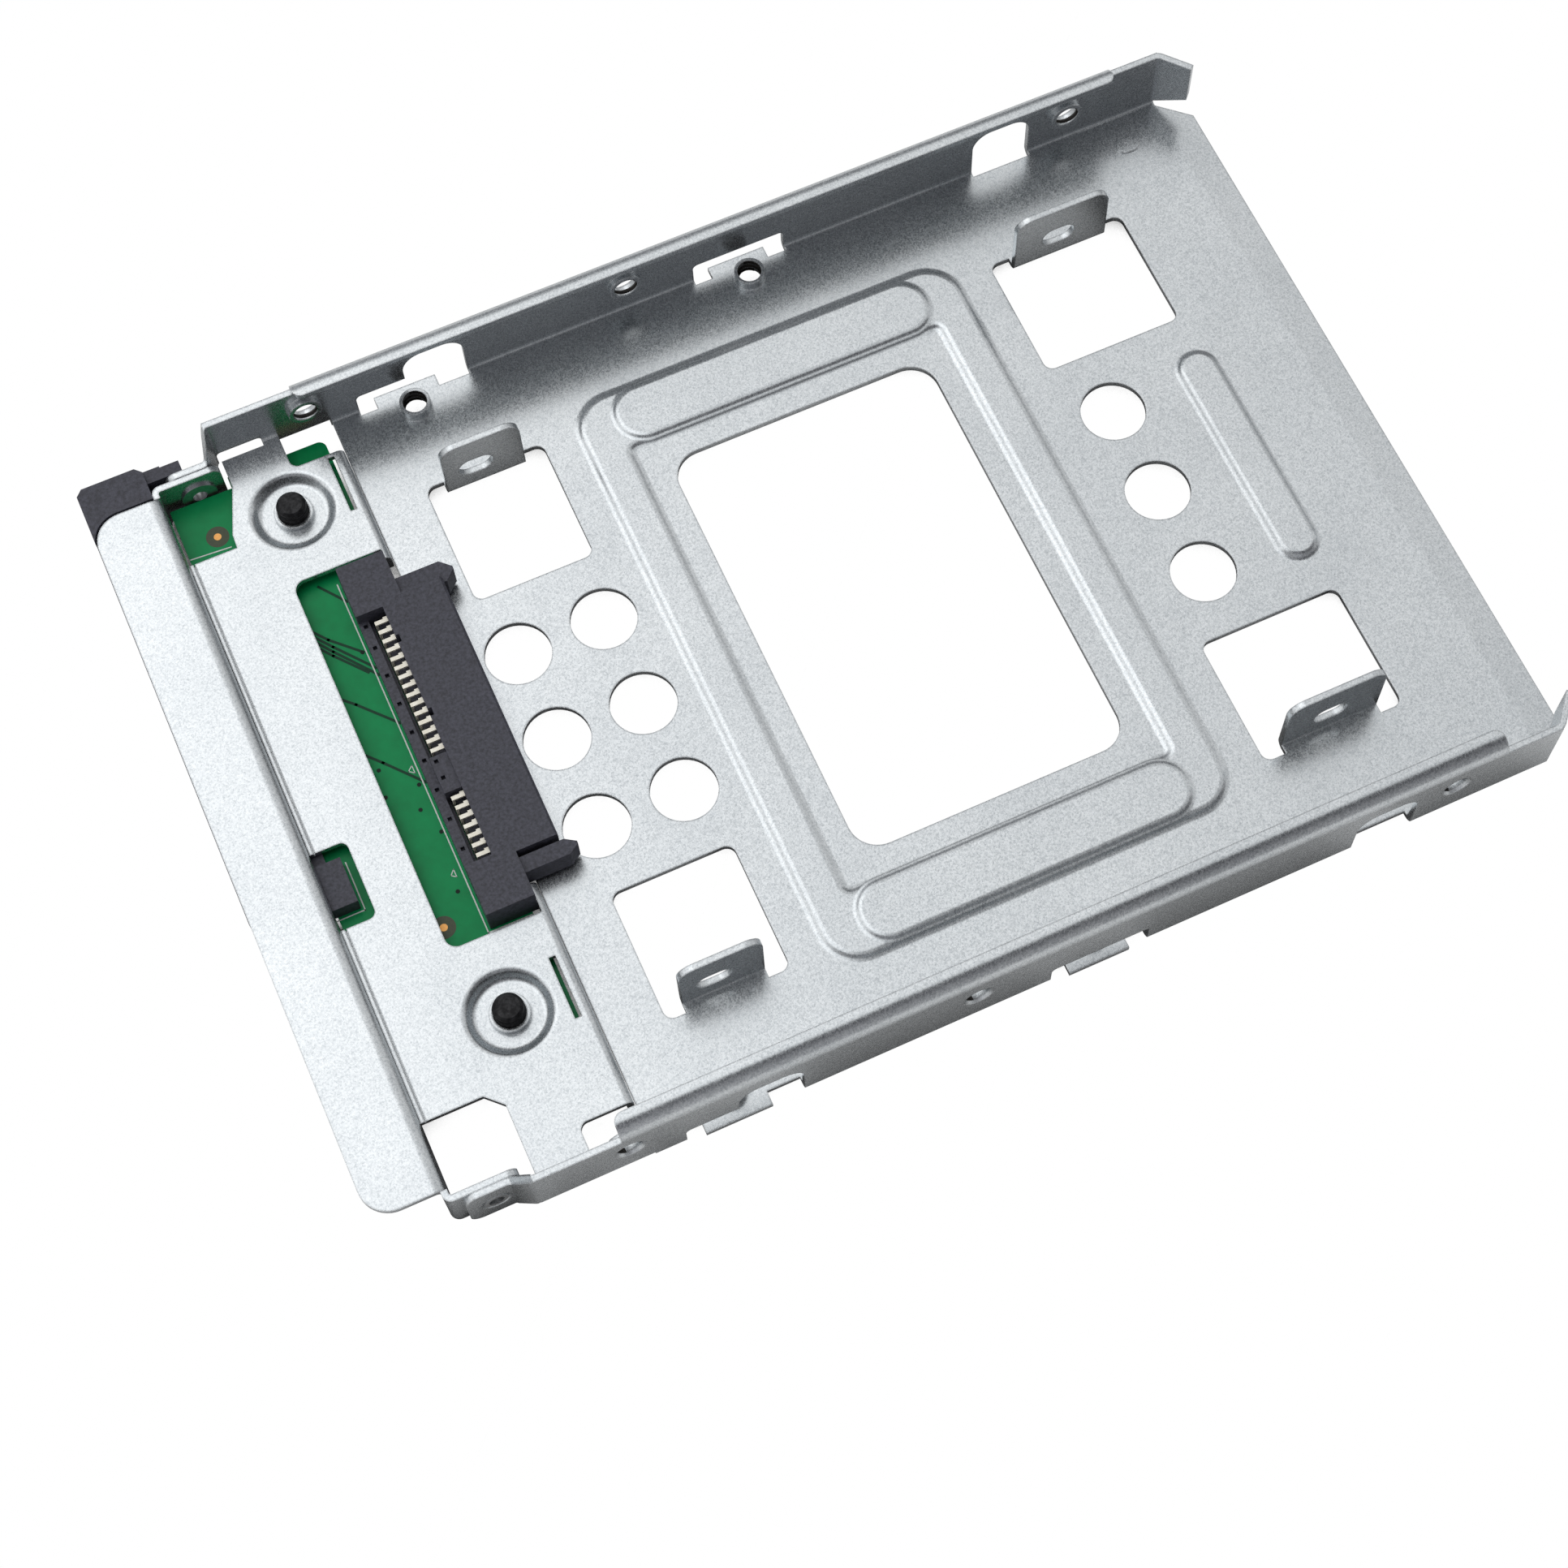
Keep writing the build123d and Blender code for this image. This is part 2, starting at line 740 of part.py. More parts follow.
def make_rivets():
    """The two hollow eyelets that hold the hood's ears to the tray's stepped tabs."""
    solids = []
    for side in (1, -1):
        middle = side * (ear_inner + tab_outer) / 2
        turn = Rot(90, 0, 0)
        shank = Pos(rivet_x, middle, rivet_z) * turn * Cylinder(rivet_radius, 2 * sheet)
        lip = turn * Cylinder(rivet_head, rivet_lip)
        lip = Pos(rivet_x, side * (ear_inner - rivet_lip / 2), rivet_z) * lip
        bore = Pos(rivet_x, middle, rivet_z) * turn * Cylinder(rivet_bore, 4 * sheet)
        solids.append(shank + lip - bore)
    return Compound(solids)


def make_board():
    """The printed circuit board under the front plate, held by the two screws."""
    board_far = half - board_far_inset
    outline = [
        (board_start, board_near),
        (board_end, board_near),
        (board_end, board_far),
        (board_step_x, board_far),
        (board_step_x, board_step_y),
        (board_start, board_step_y),
    ]
    board = prism(outline, board_low, board_top)
    corners = board.edges().filter_by(Axis.Z).group_by(Axis.X)[-1]
    board = fillet(corners, board_corner)
    for x, y in (dimple_far, dimple_near):
        board -= Pos(x, y, 0) * Cylinder(screw_radius + board_screw_clearance, 2 * past)
    return board


def guide_arm(y0, y1):
    """One guide arm of the receptacle, with a pointed end."""
    middle = (y0 + y1) / 2
    outline = [
        (socket_x[1] - sheet, y0),
        (arm_end - arm_point, y0),
        (arm_end, middle - arm_tip / 2),
        (arm_end, middle + arm_tip / 2),
        (arm_end - arm_point, y1),
        (socket_x[1] - sheet, y1),
    ]
    return prism(outline, nose_bottom, arm_top)


def receptacle_pockets():
    """Everything hollowed out of the receptacle from above: ledge, pockets, legs' slots and pits."""
    low_end = signal_pocket_y[0]
    high_end = power_pocket_y[1]
    top = socket_top + past
    cuts = [
        block(socket_x[0] - past, pocket_x[0], low_end, high_end, ledge_top, top),
        block(pocket_x[0] - sheet, pocket_x[1], low_end, high_end, bridge_top, top),
    ]
    for low, high in (signal_pocket_y, power_pocket_y):
        cuts.append(block(pocket_x[0], pocket_x[1], low, high, pocket_floor, top))
        leg_end = pin_start + pin_thickness + leg_clearance
        cuts.append(block(pin_start - leg_clearance, leg_end, low, high, 0, top))
    pit = Box(pit_size, pit_size, 2 * pit_depth)
    cuts += [Pos(pit_x, y, ledge_top) * pit for y in pit_rows]
    cuts += [Pos(bridge_pit_x, y, bridge_top) * pit for y in bridge_pit_rows]
    cuts += [block(pocket_x[1] - sheet, pocket_x[1] + latch_depth, y - latch_width / 2, y + latch_width / 2,
                   pocket_floor, top) for y in latch_rows]
    return cuts


def make_receptacle():
    """The moulded receptacle that the small drive's edge connector slides into."""
    body = block(socket_x[0], socket_x[1], socket_y[0], socket_y[1], board_top, socket_top)
    nose = block(socket_x[1] - sheet, nose_end, nose_y[0], nose_y[1], nose_bottom, socket_top)
    nose = chamfer(nose.edges().filter_by(Axis.Y).group_by(Axis.X)[-1], socket_edge)
    body = body + nose
    body += guide_arm(*arm_far_y)
    body += guide_arm(*arm_near_y)
    middle = (nose_bottom + socket_top) / 2
    for start, end in ((nose_y[1] - sheet, arm_far_y[1]), (arm_near_y[0], nose_y[0] + sheet)):
        body += block(socket_x[1] - sheet, nose_end - sheet, start, end, nose_bottom, middle)
    body -= receptacle_pockets()
    for first, count in ((power_first_y, power_count), (signal_first_y, signal_count)):
        high = first + pin_pitch
        low = high - (count + 1) * pin_pitch
        body -= block(nose_end - slot_depth, nose_end + past, low, high,
                      middle - slot_height / 2, middle + slot_height / 2)
    return body


def pin_row(first_y, count):
    """The places of one row of contacts, counted towards the near side."""
    return [first_y - index * pin_pitch for index in range(count)]


def make_socket_pins(first_y, count):
    """One group of receptacle contacts: a leg on the board, a level arm and its wider head."""
    solids = []
    level = pin_top - pin_thickness
    for y in pin_row(first_y, count):
        near = y - pin_width / 2
        far = y + pin_width / 2
        leg = block(pin_start, pin_start + pin_thickness, near, far, board_top, pin_top)
        arm = block(pin_start, pocket_x[1], near, far, level, pin_top)
        head = block(pin_head_x, pocket_x[1], near, near + pin_head, level, pin_top)
        solids.append(leg + arm + head)
    return Compound(solids)


def tongue_levels():
    """The lower and upper face of the plug's tongue."""
    middle = (plug_z[0] + plug_z[1]) / 2
    return middle - tongue_thickness / 2, middle + tongue_thickness / 2


def tongue(first_y, count):
    """One keyed tongue inside the plug's mouth."""
    low, high = tongue_levels()
    front = -plug_overhang + tongue_setback
    far = first_y + tongue_margin
    near = first_y - (count - 1) * pin_pitch - tongue_margin
    blade = block(front, mouth_depth + sheet, near, far, low, high)
    key = block(front, mouth_depth + sheet, near - key_width, near, low - key_width, high)
    return blade + key


def make_plug():
    """The moulded plug that meets the bay's own connector, with its rail along the board."""
    front = -plug_overhang
    plug_far = half + plug_far_overhang
    body = block(front, plug_end, plug_near, plug_far, plug_z[0], plug_z[1])
    body = chamfer(body.edges().filter_by(Axis.Z), plug_edge)
    end_block = block(front, plug_end, hood_half - hood_corner, plug_far, plug_z[1] - sheet, end_block_top)
    end_block = chamfer(end_block.edges().filter_by(Axis.Z).group_by(Axis.Y)[-1], end_block_edge)
    clear = hood_half + wing_gap
    cover = rounded_plan(hood_start - wing_gap, plug_end + past, -clear, clear, hood_corner)
    end_block -= extrude(Pos(0, 0, plug_z[1]) * cover, past)
    body += end_block
    relief = hood_fold - sheet
    body -= block(web_back - relief, plug_end + past, -half, clear, hood_low - relief, end_block_top + past)
    body -= block(front - past, mouth_depth, mouth_y[0], mouth_y[1],
                  plug_z[0] + mouth_wall, plug_z[1] - mouth_wall)
    body += tongue(plug_power_first_y, power_count)
    body += tongue(plug_signal_first_y, signal_count)
    body += block(plug_end - sheet, rail_end, plug_near, notch_y - sheet,
                  board_top, board_top + rail_height)
    body += block(plug_end - sheet, foot_end, foot_y[0], foot_y[1], board_top, foot_top)
    wing_inner = tab_outer + wing_gap
    for x_start, x_end, inset in wing_steps:
        body += block(x_start - sheet, x_end, wing_inner, half - inset, wing_z[0], wing_z[1])
    return body


def make_plug_pins(first_y, count):
    """One group of plug contacts lying on the tongue, in front of the plug's back wall."""
    solids = []
    low, high = tongue_levels()
    front = -plug_overhang + tongue_setback + sheet
    for y in pin_row(first_y, count):
        solids.append(block(front, mouth_depth, y - plug_pin_width / 2, y + plug_pin_width / 2,
                            high, high + pin_thickness))
    return Compound(solids)


def make_screws():
    """The two screws that clamp the board up against the dimples of the front plate."""
    solids = []
    for x, y in (dimple_far, dimple_near):
        shank = Cylinder(screw_radius, screw_tip - board_low, align=(Align.CENTER, Align.CENTER, Align.MIN))
        shank = chamfer(shank.edges().group_by(Axis.Z)[-1], screw_point)
        head = Cylinder(screw_head_radius, screw_head_height, align=(Align.CENTER, Align.CENTER, Align.MAX))
        head = fillet(head.edges().group_by(Axis.Z)[0], screw_head_height / 2)
        key = Box(2 * screw_radius, socket_key, screw_head_height)
        key += Rot(0, 0, 90) * key
        drive = Pos(0, 0, -screw_head_height) * key
        solids.append(Pos(x, y, board_low) * (shank + head - drive))
    return Compound(solids)


# The finished part stands with its lowest edge at z = 0 and its box centred over the origin
home = Pos(-(tray_length - plug_overhang) / 2, 0, tab_drop)

nodes = {
    "tray": make_tray(),
    "front_hood": make_hood(),
    "rivets": make_rivets(),
    "circuit_board": make_board(),
    "drive_receptacle": make_receptacle(),
    "receptacle_power_contacts": make_socket_pins(power_first_y, power_count),
    "receptacle_signal_contacts": make_socket_pins(signal_first_y, signal_count),
    "host_plug": make_plug(),
    "plug_power_contacts": make_plug_pins(plug_power_first_y, power_count),
    "plug_signal_contacts": make_plug_pins(plug_signal_first_y, signal_count),
    "board_screws": make_screws(),
}

os.makedirs("parts", exist_ok=True)
for name, shape in nodes.items():
    export_step(Compound([home * solid for solid in shape.solids()]), f"parts/{name}.step")
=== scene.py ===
import math
import bpy
import bmesh
from mathutils import Matrix, Vector


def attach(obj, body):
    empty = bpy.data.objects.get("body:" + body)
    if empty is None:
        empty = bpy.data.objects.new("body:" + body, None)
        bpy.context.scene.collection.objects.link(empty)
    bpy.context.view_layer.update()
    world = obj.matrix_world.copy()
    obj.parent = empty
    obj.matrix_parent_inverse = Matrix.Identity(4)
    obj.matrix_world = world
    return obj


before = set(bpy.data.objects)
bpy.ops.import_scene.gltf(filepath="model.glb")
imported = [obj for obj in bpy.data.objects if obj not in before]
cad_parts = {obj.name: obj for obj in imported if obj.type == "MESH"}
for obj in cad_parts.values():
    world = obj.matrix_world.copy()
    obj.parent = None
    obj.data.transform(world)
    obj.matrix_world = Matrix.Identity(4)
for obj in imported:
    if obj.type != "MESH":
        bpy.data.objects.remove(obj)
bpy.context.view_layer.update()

# The tray is one sheet of galvanised steel, blanked, embossed and folded in a press. Its zinc coat
# is a very fine grey-white grain, with a painted highlight along the cut and folded edges. Everything
# else is fixed to it, so its datums are kept here: connector face, centre line and floor.
MM = 0.001
DATUM_X = -73.4
DATUM_Z = 2.4
ZINC_LIGHT = (0.72, 0.745, 0.76)
ZINC_DARK = (0.50, 0.525, 0.54)
ZINC_EDGE_HIGHLIGHT = (0.80, 0.81, 0.815)
ZINC_GLOSS = (0.21, 0.34)
ZINC_METAL = 0.95
GRAIN_SCALE = 6400.0
PEPPER_SCALE = 3600.0
PEPPER_SHARE = 0.55
CLOUD_SCALE = 60.0
EDGE_ROUND_RADIUS = 0.0003
EDGE_HIGHLIGHT_SHARE = 0.6


def at(x, y, z):
    """A point given in millimetres on the tray's datums, in the frame's metres."""
    return Vector(((x + DATUM_X) * MM, y * MM, (z + DATUM_Z) * MM))


def new_material(name):
    """A node material with its principled shader ready to use."""
    material = bpy.data.materials.new(name)
    material.use_nodes = True
    tree = material.node_tree
    return material, tree, tree.nodes["Principled BSDF"]


def add_node(tree, kind, **values):
    """A node with its settings and its unlinked inputs filled in by name."""
    node = tree.nodes.new(kind)
    for key, value in values.items():
        if key in node.inputs:
            node.inputs[key].default_value = value
        else:
            setattr(node, key, value)
    return node


def grain_on(tree, kind, scale, **values):
    """A solid texture laid over the piece at a given scale per metre."""
    coords = tree.nodes.new("ShaderNodeTexCoord")
    node = add_node(tree, kind, Scale=scale, **values)
    tree.links.new(coords.outputs["Object"], node.inputs["Vector"])
    return node


def ramp(tree, source, stops):
    """A colour ramp from stops of place and colour."""
    node = tree.nodes.new("ShaderNodeValToRGB")
    tree.links.new(source, node.inputs["Fac"])
    while len(node.color_ramp.elements) < len(stops):
        node.color_ramp.elements.new(0.5)
    for element, (place, colour) in zip(node.color_ramp.elements, stops):
        element.position = place
        element.color = (*colour, 1)
    return node.outputs["Color"]


def blend(tree, kind, share, first, second):
    """Two colours mixed by a share that is a number or comes from a node."""
    node = add_node(tree, "ShaderNodeMix", data_type="RGBA", blend_type=kind)
    for socket, value in (("Factor", share), ("A", first), ("B", second)):
        if isinstance(value, (int, float)):
            node.inputs[socket].default_value = value
        elif isinstance(value, tuple):
            node.inputs[socket].default_value = (*value, 1)
        else:
            tree.links.new(value, node.inputs[socket])
    return node.outputs["Result"]


def spread(tree, source, low, high, start=0.0, end=1.0):
    """A number that runs from low to high as its source runs from start to end."""
    node = tree.nodes.new("ShaderNodeMapRange")
    for key, value in (("From Min", start), ("From Max", end), ("To Min", low), ("To Max", high)):
        node.inputs[key].default_value = value
    tree.links.new(source, node.inputs["Value"])
    return node.outputs["Result"]


def galvanised(name):
    """Zinc-coated steel: fine grain in its colour, gloss and relief, and a painted highlight on its
    edges.
    """
    material, tree, shader = new_material(name)
    cells = grain_on(tree, "ShaderNodeTexVoronoi", GRAIN_SCALE, Randomness=1.0)
    pepper = grain_on(tree, "ShaderNodeTexNoise", PEPPER_SCALE, Detail=4.0, Roughness=0.7)
    cloud = grain_on(tree, "ShaderNodeTexNoise", CLOUD_SCALE, Detail=3.0, Roughness=0.6)
    tone = ramp(tree, cells.outputs["Color"], [(0.0, ZINC_DARK), (0.75, ZINC_LIGHT)])
    flecks = ramp(tree, pepper.outputs["Fac"], [(0.36, (0.62, 0.64, 0.66)), (0.52, (1, 1, 1))])
    tone = blend(tree, "MULTIPLY", PEPPER_SHARE, tone, flecks)
    broad = ramp(tree, cloud.outputs["Fac"], [(0.32, (0.92, 0.925, 0.93)), (0.68, (1, 1, 1))])
    tone = blend(tree, "MULTIPLY", 1.0, tone, broad)
    # Painted highlight: the colour turns brighter where the rounded edge normal leaves the flat one.
    plain = tree.nodes.new("ShaderNodeNewGeometry")
    soft = add_node(tree, "ShaderNodeBevel", samples=3, Radius=EDGE_ROUND_RADIUS)
    turn = add_node(tree, "ShaderNodeVectorMath", operation="DOT_PRODUCT")
    tree.links.new(plain.outputs["Normal"], turn.inputs[0])
    tree.links.new(soft.outputs["Normal"], turn.inputs[1])
    edge_highlight = spread(tree, turn.outputs["Value"], EDGE_HIGHLIGHT_SHARE, 0.0, 0.72, 0.90)
    tone = blend(tree, "MIX", edge_highlight, tone, ZINC_EDGE_HIGHLIGHT)
    tree.links.new(tone, shader.inputs["Base Color"])
    tree.links.new(spread(tree, cells.outputs["Color"], *ZINC_GLOSS), shader.inputs["Roughness"])
    relief = add_node(tree, "ShaderNodeBump", Strength=0.2, Distance=0.000012)
    tree.links.new(pepper.outputs["Fac"], relief.inputs["Height"])
    tree.links.new(soft.outputs["Normal"], relief.inputs["Normal"])
    tree.links.new(relief.outputs["Normal"], shader.inputs["Normal"])
    shader.inputs["Metallic"].default_value = ZINC_METAL
    return material


def dress(node, material):
    """Gives a carried-over piece its finish."""
    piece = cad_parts[node]
    piece.data.materials.clear()
    piece.data.materials.append(material)


dress("tray", galvanised("zinc_coated_tray"))

# The ten screw holes of the tray are drawn through its walls and floor and tapped with a coarse
# thread. Its spiral ridge cuts through the zinc to bare steel, painted near black as shade in the
# bores.
THREAD_PITCH = 0.79
THREAD_RISE = 0.16
HOLE_RADIUS = 1.5
WALL_HOLES_X = (28.5, 70.11, 130.1)
WALL_HOLE_Z = 6.35
WALL_INNER = 49.2
WALL_OUTER = 50.45
FLOOR_HOLES_X = (41.28, 85.73)
FLOOR_HOLE_Y = 47.63
BUSHING_TOP = 2.1
TURN_STEPS = 28
FADE_STEPS = 6
RIDGE_FOOT = 0.36
THREAD_LEAD = 0.25
THREAD_SHADE_TONES = [(0.3, (0.03, 0.028, 0.026)), (0.7, (0.08, 0.075, 0.07))]


def thread_ridge(mesh, foot, axis, length, radius, rise, pitch):
    """A spiral ridge in a bore (rise below 0) or on a shank (rise above 0), from foot along axis."""
    side = axis.orthogonal().normalized()
    across = axis.cross(side)
    count = int((length - 2 * THREAD_LEAD * pitch) / pitch * TURN_STEPS)
    rings = []
    for step in range(count + 1):
        angle = 2 * math.pi * step / TURN_STEPS
        climb = pitch * (THREAD_LEAD + step / TURN_STEPS)
        fade = min(1.0, step / FADE_STEPS, (count - step) / FADE_STEPS)
        spoke = side * math.cos(angle) + across * math.sin(angle)
        ring = []
        for lift, reach in ((-RIDGE_FOOT, 0.0), (0.0, fade * rise), (RIDGE_FOOT, 0.0)):
            point = foot + (axis * (climb + lift * pitch) + spoke * (radius + reach)) * MM
            ring.append(mesh.verts.new(point))
        rings.append(ring)
    for first, second in zip(rings, rings[1:]):
        for a, b in ((0, 1), (1, 2), (2, 0)):
            mesh.faces.new((first[a], first[b], second[b], second[a]))
    mesh.faces.new(rings[0])
    mesh.faces.new(reversed(rings[-1]))


def finished_piece(name, mesh, material):
    """A new piece from its mesh, fixed to the bracket."""
    bmesh.ops.recalc_face_normals(mesh, faces=mesh.faces)
    data = bpy.data.meshes.new(name)
    mesh.to_mesh(data)
    mesh.free()
    piece = bpy.data.objects.new(name, data)
    bpy.context.scene.collection.objects.link(piece)
    data.materials.append(material)
    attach(piece, "root")


def speckled(name, scale, tones, gloss, metallic=0.0, specular=0.5, detail=3.0, decay=0.6):
    """A finish whose colour and gloss both follow one fine speckle."""
    material, tree, shader = new_material(name)
    speckle = grain_on(tree, "ShaderNodeTexNoise", scale, Detail=detail, Roughness=decay)
    tree.links.new(ramp(tree, speckle.outputs["Fac"], tones), shader.inputs["Base Color"])
    tree.links.new(spread(tree, speckle.outputs["Fac"], *gloss), shader.inputs["Roughness"])
    shader.inputs["Metallic"].default_value = metallic
    shader.inputs["Specular IOR Level"].default_value = specular
    return material


holes = bmesh.new()
for side in (1, -1):
    for x in WALL_HOLES_X:
        thread_ridge(holes, at(x, side * WALL_INNER, WALL_HOLE_Z), Vector((0, side, 0)),
                     WALL_OUTER - WALL_INNER, HOLE_RADIUS, -THREAD_RISE, THREAD_PITCH)
    for x in FLOOR_HOLES_X:
        thread_ridge(holes, at(x, side * FLOOR_HOLE_Y, 0), Vector((0, 0, 1)),
                     BUSHING_TOP, HOLE_RADIUS, -THREAD_RISE, THREAD_PITCH)
# The thread steel is painted near black: it stands in for the shade inside the bores.
shaded_thread_steel = speckled("thread_steel_painted_dark", 2500.0, THREAD_SHADE_TONES, (0.45, 0.60), metallic=0.9)
finished_piece("tapped_threads", holes, shaded_thread_steel)

# The front hood is a second sheet of the same stock, folded to an angle with two ears. It covers
# the plug, and its ears are held to the tray by two hollow eyelets of plain rolled steel.
EYELET_TONES = [(0.3, (0.46, 0.47, 0.48)), (0.7, (0.64, 0.65, 0.66))]
dress("front_hood", galvanised("zinc_coated_hood"))
dress("rivets", speckled("eyelet_steel", 1800.0, EYELET_TONES, (0.26, 0.42), metallic=0.95))

# The circuit board is a glass laminate with copper tracks under a green solder mask, sawn to
# shape so that the bare laminate shows at its edges. It is clamped up under the raised plate.
MASK_GREEN = (0.003, 0.330, 0.102)
MASK_DARK = (0.002, 0.270, 0.082)
MASK_SHEEN = 0.16
LAMINATE = (0.16, 0.17, 0.075)
BOARD_TOP = 0.9
board_mask, tree, shader = new_material("solder_mask")
mottle = grain_on(tree, "ShaderNodeTexNoise", 420.0, Detail=3.0, Roughness=0.6)
mask = ramp(tree, mottle.outputs["Fac"], [(0.3, MASK_DARK), (0.7, MASK_GREEN)])
facing = tree.nodes.new("ShaderNodeNewGeometry")
upward = tree.nodes.new("ShaderNodeSeparateXYZ")
tree.links.new(facing.outputs["True Normal"], upward.inputs["Vector"])
level = add_node(tree, "ShaderNodeMath", operation="ABSOLUTE")
tree.links.new(upward.outputs["Z"], level.inputs[0])
masked = spread(tree, level.outputs["Value"], 0.0, 1.0, 0.5, 0.6)
tree.links.new(blend(tree, "MIX", masked, LAMINATE, mask), shader.inputs["Base Color"])
weave = grain_on(tree, "ShaderNodeTexWave", 900.0, Distortion=0.6)
woven = add_node(tree, "ShaderNodeBump", Strength=0.15, Distance=0.00001)
tree.links.new(weave.outputs["Fac"], woven.inputs["Height"])
tree.links.new(woven.outputs["Normal"], shader.inputs["Normal"])
tree.links.new(spread(tree, mottle.outputs["Fac"], 0.26, 0.36), shader.inputs["Roughness"])
shader.inputs["Specular IOR Level"].default_value = MASK_SHEEN
dress("circuit_board", board_mask)

# The marks on the board are flat layers on the mask: white ink lines round both connectors,
# darker tracks beneath the mask, small filled vias, and two copper dots in bare dark rings.
INK_WHITE = (0.86, 0.89, 0.85)
TRACK_GREEN = (0.006, 0.062, 0.030)
VIA_DARK = (0.004, 0.020, 0.012)
RING_DARK = (0.050, 0.070, 0.022)
COPPER = (0.86, 0.42, 0.12)
INK_LIFT = 0.02
INK_WIDTH = 0.16
RECEPTACLE_LINE = ((23.93, 28.9), (23.93, -19.3), (29.2, -19.3))
FOOT_LINE = ((12.25, -4.6), (12.25, -10.9), (8.9, -10.9))
CORNER_LINE = ((9.25, 39.3), (14.2, 38.95))
TRIANGLES = (
    ((23.5, 3.5), (22.9, 2.95), (23.5, 2.45)),
    ((23.15, -10.5), (22.6, -11.1), (23.15, -11.5)),
)
TRIANGLE_LINE = 0.7
TRACKS = (
    ((19.1, 24.3), (20.4, 22.6), (23.6, 19.4)), ((19.1, 23.5), (20.6, 21.5), (24.2, 16.9)),
    ((19.1, 22.7), (20.4, 20.9), (24.2, 15.9)), ((19.1, 21.9), (20.2, 20.4), (23.2, 16.7)),
    ((19.1, 14.7), (20.4, 13.4), (24.2, 9.1)), ((19.1, 6.9), (20.6, 5.2), (24.2, 0.9)),
    ((21.8, 29.6), (24.2, 26.4)),
)
TRACK_WIDTH = 0.34
VIAS = (
    (23.5, 19.4), (19.8, 4.5), (23.4, 0.9), (19.3, 1.0), (22.4, -2.1), (23.6, -5.6), (22.6, -13.2),
)
VIA_RADIUS = 0.26
FIDUCIALS = ((19.55, -16.6), (13.2, 40.9))
RING_RADIUS = 1.4
DOT_RADIUS = 0.46
DISC_STEPS = 40
INK_GRAIN = 3000.0


def flat_strip(mesh, points, width, level):
    """A flat line of even width through the points."""
    for start, end in zip(points, points[1:]):
        run = Vector(end) - Vector(start)
        run.normalize()
        across = Vector((-run.y, run.x)) * width / 2
        ends = (Vector(start) - run * width / 2, Vector(end) + run * width / 2)
        outline = [ends[0] - across, ends[1] - across, ends[1] + across, ends[0] + across]
        mesh.faces.new([mesh.verts.new(at(*point, level)) for point in outline])


def flat_disc(mesh, centre, outer, inner, level):
    """A flat ring, or a disc where inner is 0."""
    circles = []
    for radius in (outer, inner):
        circle = []
        for step in range(DISC_STEPS if radius else 0):
            angle = 2 * math.pi * step / DISC_STEPS
            x = centre[0] + radius * math.cos(angle)
            y = centre[1] + radius * math.sin(angle)
            circle.append(mesh.verts.new(at(x, y, level)))
        circles.append(circle)
    rim, hole = circles
    if not hole:
        mesh.faces.new(rim)
        return
    for index in range(DISC_STEPS):
        after = (index + 1) % DISC_STEPS
        mesh.faces.new((rim[index], rim[after], hole[after], hole[index]))


def ink(name, colour, shade, rough, specular=0.5, metallic=0.0):
    """A thin flat layer, uneven from its colour down to a share of it."""
    tones = [(0.35, tuple(shade * value for value in colour)), (0.65, colour)]
    return speckled(name, INK_GRAIN, tones, (rough, rough + 0.15), metallic, specular)


lines = bmesh.new()
for points in (RECEPTACLE_LINE, FOOT_LINE, CORNER_LINE):
    flat_strip(lines, points, INK_WIDTH, BOARD_TOP + INK_LIFT)
for corners in TRIANGLES:
    flat_strip(lines, (*corners, corners[0]), INK_WIDTH * TRIANGLE_LINE, BOARD_TOP + INK_LIFT)
finished_piece("ink_lines", lines, ink("white_ink", INK_WHITE, 0.85, 0.5))
tracks = bmesh.new()
for points in TRACKS:
    flat_strip(tracks, points, TRACK_WIDTH, BOARD_TOP + INK_LIFT / 2)
track_mask = ink("mask_over_tracks", TRACK_GREEN, 0.8, 0.28, specular=MASK_SHEEN)
finished_piece("board_tracks", tracks, track_mask)
vias = bmesh.new()
for centre in VIAS:
    flat_disc(vias, centre, VIA_RADIUS, 0, BOARD_TOP + INK_LIFT)
via_mask = ink("filled_vias", VIA_DARK, 0.7, 0.3, specular=MASK_SHEEN)
finished_piece("board_vias", vias, via_mask)
rings = bmesh.new()
dots = bmesh.new()
for centre in FIDUCIALS:
    flat_disc(rings, centre, RING_RADIUS, DOT_RADIUS, BOARD_TOP + INK_LIFT / 2)
    flat_disc(dots, centre, DOT_RADIUS, 0, BOARD_TOP + INK_LIFT)
finished_piece("bare_rings", rings, ink("bare_rings", RING_DARK, 0.7, 0.35))
copper_dot = ink("copper_dots", COPPER, 0.8, 0.3, metallic=0.6)
finished_piece("copper_dots", dots, copper_dot)

# Two black-oxide screws come up through the board into the dimples of the front plate and clamp
# the board there. Their rolled thread shows where their tips stand out of the collars.
SCREW_PLACES = ((22.6, 39.4), (22.5, -29.6))
SCREW_RADIUS = 1.73
SCREW_PITCH = 0.5
SCREW_RIDGE = 0.13
SCREW_THREAD_FOOT = 2.1
SCREW_THREAD_TOP = 4.3
OXIDE_TONES = [(0.4, (0.004, 0.004, 0.005)), (0.8, (0.045, 0.045, 0.048))]
black_oxide = speckled("black_oxide", 1500.0, OXIDE_TONES, (0.45, 0.28), 0.5, 0.3, 4.0, 0.7)
dress("board_screws", black_oxide)
tips = bmesh.new()
for x, y in SCREW_PLACES:
    thread_ridge(tips, at(x, y, SCREW_THREAD_FOOT), Vector((0, 0, 1)),
                 SCREW_THREAD_TOP - SCREW_THREAD_FOOT, SCREW_RADIUS, SCREW_RIDGE, SCREW_PITCH)
